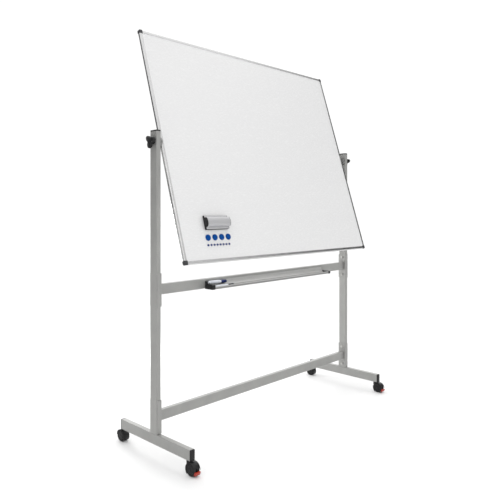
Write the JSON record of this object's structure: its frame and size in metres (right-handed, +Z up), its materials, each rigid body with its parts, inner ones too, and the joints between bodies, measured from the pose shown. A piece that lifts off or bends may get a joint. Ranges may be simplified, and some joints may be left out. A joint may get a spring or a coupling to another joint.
{
  "type": "rolling whiteboard",
  "caption": "Double-sided whiteboard that turns over between two posts on a wheeled steel stand, with a pen tray, markers, an eraser and magnets",
  "frame": {"origin": "on the floor under the middle of the bounding box", "axes": "+X along the board's width to the right as the writer faces it, -Y the side that is written on, +Z up"},
  "size_m": [1.6262, 0.6053, 2.0587],
  "materials": {
    "post_left": "satin powder coat",
    "post_cap_left": "moulded",
    "foot_left": "satin powder coat",
    "foot_cap_front_left": "moulded",
    "foot_cap_rear_left": "moulded",
    "post_right": "satin powder coat",
    "post_cap_right": "moulded",
    "foot_right": "satin powder coat",
    "foot_cap_front_right": "moulded",
    "foot_cap_rear_right": "moulded",
    "upper_crossbar": "satin powder coat",
    "upper_bracket_left": "satin powder coat",
    "upper_bolt_left_top": "zinc plated",
    "upper_bolt_left_bottom": "zinc plated",
    "upper_bracket_right": "satin powder coat",
    "upper_bolt_right_top": "zinc plated",
    "upper_bolt_right_bottom": "zinc plated",
    "lower_crossbar": "satin powder coat",
    "lower_bracket_left": "satin powder coat",
    "lower_bolt_left_top": "zinc plated",
    "lower_bolt_left_bottom": "zinc plated",
    "lower_bracket_right": "satin powder coat",
    "lower_bolt_right_top": "zinc plated",
    "lower_bolt_right_bottom": "zinc plated",
    "pen_tray": "satin anodised",
    "tray_end_left": "moulded",
    "tray_end_right": "moulded",
    "board_core": "raw fibre board",
    "front_sheet": "gloss enamel",
    "back_sheet": "gloss enamel",
    "frame_rail_top": "satin anodised",
    "frame_rail_bottom": "satin anodised",
    "frame_rail_left": "satin anodised",
    "frame_rail_right": "satin anodised",
    "corner_top_left": "moulded",
    "corner_top_right": "moulded",
    "corner_bottom_left": "moulded",
    "corner_bottom_right": "moulded",
    "pivot_left": "zinc plated",
    "pivot_right": "zinc plated",
    "clamp_knob_left": "moulded",
    "clamp_knob_right": "moulded",
    "marker_blue": "smooth",
    "marker_black": "smooth",
    "eraser_cover": "silver lacquer",
    "eraser_pad": "felt",
    "magnet_1": "smooth",
    "magnet_2": "smooth",
    "magnet_3": "smooth",
    "magnet_4": "smooth",
    "castor_housing_front_left": "moulded",
    "castor_wheels_front_left": "matt tread",
    "brake_pedal_left": "moulded",
    "castor_housing_front_right": "moulded",
    "castor_wheels_front_right": "matt tread",
    "brake_pedal_right": "moulded",
    "castor_housing_rear_left": "moulded",
    "castor_wheels_rear_left": "matt tread",
    "castor_housing_rear_right": "moulded",
    "castor_wheels_rear_right": "matt tread"
  },
  "bodies": {
    "stand": {"post_left": "post_left", "post_cap_left": "post_cap_left", "foot_left": "foot_left", "foot_cap_front_left": "foot_cap_front_left", "foot_cap_rear_left": "foot_cap_rear_left", "post_right": "post_right", "post_cap_right": "post_cap_right", "foot_right": "foot_right", "foot_cap_front_right": "foot_cap_front_right", "foot_cap_rear_right": "foot_cap_rear_right", "upper_crossbar": "upper_crossbar", "upper_bracket_left": "upper_bracket_left", "upper_bolt_left_top": "upper_bolt_left_top", "upper_bolt_left_bottom": "upper_bolt_left_bottom", "upper_bracket_right": "upper_bracket_right", "upper_bolt_right_top": "upper_bolt_right_top", "upper_bolt_right_bottom": "upper_bolt_right_bottom", "lower_crossbar": "lower_crossbar", "lower_bracket_left": "lower_bracket_left", "lower_bolt_left_top": "lower_bolt_left_top", "lower_bolt_left_bottom": "lower_bolt_left_bottom", "lower_bracket_right": "lower_bracket_right", "lower_bolt_right_top": "lower_bolt_right_top", "lower_bolt_right_bottom": "lower_bolt_right_bottom", "pen_tray": "pen_tray", "tray_end_left": "tray_end_left", "tray_end_right": "tray_end_right"},
    "board": {"board_core": "board_core", "front_sheet": "front_sheet", "back_sheet": "back_sheet", "frame_rail_top": "frame_rail_top", "frame_rail_bottom": "frame_rail_bottom", "frame_rail_left": "frame_rail_left", "frame_rail_right": "frame_rail_right", "corner_top_left": "corner_top_left", "corner_top_right": "corner_top_right", "corner_bottom_left": "corner_bottom_left", "corner_bottom_right": "corner_bottom_right", "pivot_left": "pivot_left", "pivot_right": "pivot_right"},
    "knob_left": {"clamp_knob_left": "clamp_knob_left"},
    "knob_right": {"clamp_knob_right": "clamp_knob_right"},
    "blue_marker": {"marker_blue": "marker_blue"},
    "black_marker": {"marker_black": "marker_black"},
    "eraser": {"eraser_cover": "eraser_cover", "eraser_pad": "eraser_pad"},
    "round_magnet_1": {"magnet_1": "magnet_1"},
    "round_magnet_2": {"magnet_2": "magnet_2"},
    "round_magnet_3": {"magnet_3": "magnet_3"},
    "round_magnet_4": {"magnet_4": "magnet_4"},
    "castor_front_left": {"castor_housing_front_left": "castor_housing_front_left"},
    "wheels_front_left": {"castor_wheels_front_left": "castor_wheels_front_left"},
    "brake_left": {"brake_pedal_left": "brake_pedal_left"},
    "castor_front_right": {"castor_housing_front_right": "castor_housing_front_right"},
    "wheels_front_right": {"castor_wheels_front_right": "castor_wheels_front_right"},
    "brake_right": {"brake_pedal_right": "brake_pedal_right"},
    "castor_rear_left": {"castor_housing_rear_left": "castor_housing_rear_left"},
    "wheels_rear_left": {"castor_wheels_rear_left": "castor_wheels_rear_left"},
    "castor_rear_right": {"castor_housing_rear_right": "castor_housing_rear_right"},
    "wheels_rear_right": {"castor_wheels_rear_right": "castor_wheels_rear_right"}
  },
  "joints": [
    {"name": "board_turn", "type": "hinge", "parent": "stand", "child": "board", "pos_m": [0, 0.0031, 1.4835], "axis": [1, 0, 0], "continuous": true},
    {"name": "knob_left_turn", "type": "hinge", "parent": "board", "child": "knob_left", "pos_m": [-0.8, 0.0031, 1.4835], "axis": [-1, 0, 0], "range_deg": [0, 360]},
    {"name": "knob_right_turn", "type": "hinge", "parent": "board", "child": "knob_right", "pos_m": [0.8, 0.0031, 1.4835], "axis": [1, 0, 0], "range_deg": [0, 360]},
    {"name": "castor_front_left_swivel", "type": "hinge", "parent": "stand", "child": "castor_front_left", "pos_m": [-0.7755, -0.2419, 0.06], "axis": [0, 0, 1], "continuous": true},
    {"name": "wheels_front_left_roll", "type": "hinge", "parent": "castor_front_left", "child": "wheels_front_left", "pos_m": [-0.7755, -0.2659, 0.02791], "axis": [1, 0, 0], "continuous": true},
    {"name": "brake_left_lift", "type": "hinge", "parent": "castor_front_left", "child": "brake_left", "pos_m": [-0.7755, -0.2659, 0.02791], "axis": [1, 0, 0], "range_deg": [-16, 0]},
    {"name": "castor_front_right_swivel", "type": "hinge", "parent": "stand", "child": "castor_front_right", "pos_m": [0.7755, -0.2419, 0.06], "axis": [0, 0, 1], "continuous": true},
    {"name": "wheels_front_right_roll", "type": "hinge", "parent": "castor_front_right", "child": "wheels_front_right", "pos_m": [0.7755, -0.2659, 0.02791], "axis": [1, 0, 0], "continuous": true},
    {"name": "brake_right_lift", "type": "hinge", "parent": "castor_front_right", "child": "brake_right", "pos_m": [0.7755, -0.2659, 0.02791], "axis": [1, 0, 0], "range_deg": [-16, 0]},
    {"name": "castor_rear_left_swivel", "type": "hinge", "parent": "stand", "child": "castor_rear_left", "pos_m": [-0.7755, 0.2481, 0.06], "axis": [0, 0, 1], "continuous": true},
    {"name": "wheels_rear_left_roll", "type": "hinge", "parent": "castor_rear_left", "child": "wheels_rear_left", "pos_m": [-0.7755, 0.2721, 0.02791], "axis": [1, 0, 0], "continuous": true},
    {"name": "castor_rear_right_swivel", "type": "hinge", "parent": "stand", "child": "castor_rear_right", "pos_m": [0.7755, 0.2481, 0.06], "axis": [0, 0, 1], "continuous": true},
    {"name": "wheels_rear_right_roll", "type": "hinge", "parent": "castor_rear_right", "child": "wheels_rear_right", "pos_m": [0.7755, 0.2721, 0.02791], "axis": [1, 0, 0], "continuous": true},
    {"name": "eraser_pull", "type": "slide", "parent": "board", "child": "eraser", "axis": [0, -0.955, 0.2965], "range_m": [0, 0.12]},
    {"name": "magnet_1_pull", "type": "slide", "parent": "board", "child": "round_magnet_1", "axis": [0, -0.955, 0.2965], "range_m": [0, 0.06]},
    {"name": "magnet_2_pull", "type": "slide", "parent": "board", "child": "round_magnet_2", "axis": [0, -0.955, 0.2965], "range_m": [0, 0.06]},
    {"name": "magnet_3_pull", "type": "slide", "parent": "board", "child": "round_magnet_3", "axis": [0, -0.955, 0.2965], "range_m": [0, 0.06]},
    {"name": "magnet_4_pull", "type": "slide", "parent": "board", "child": "round_magnet_4", "axis": [0, -0.955, 0.2965], "range_m": [0, 0.06]},
    {"name": "marker_blue_lift", "type": "slide", "parent": "stand", "child": "blue_marker", "axis": [0, 0, 1], "range_m": [0, 0.06]},
    {"name": "marker_black_slide", "type": "slide", "parent": "stand", "child": "black_marker", "axis": [1, 0, 0], "range_m": [0, 0.3]}
  ]
}
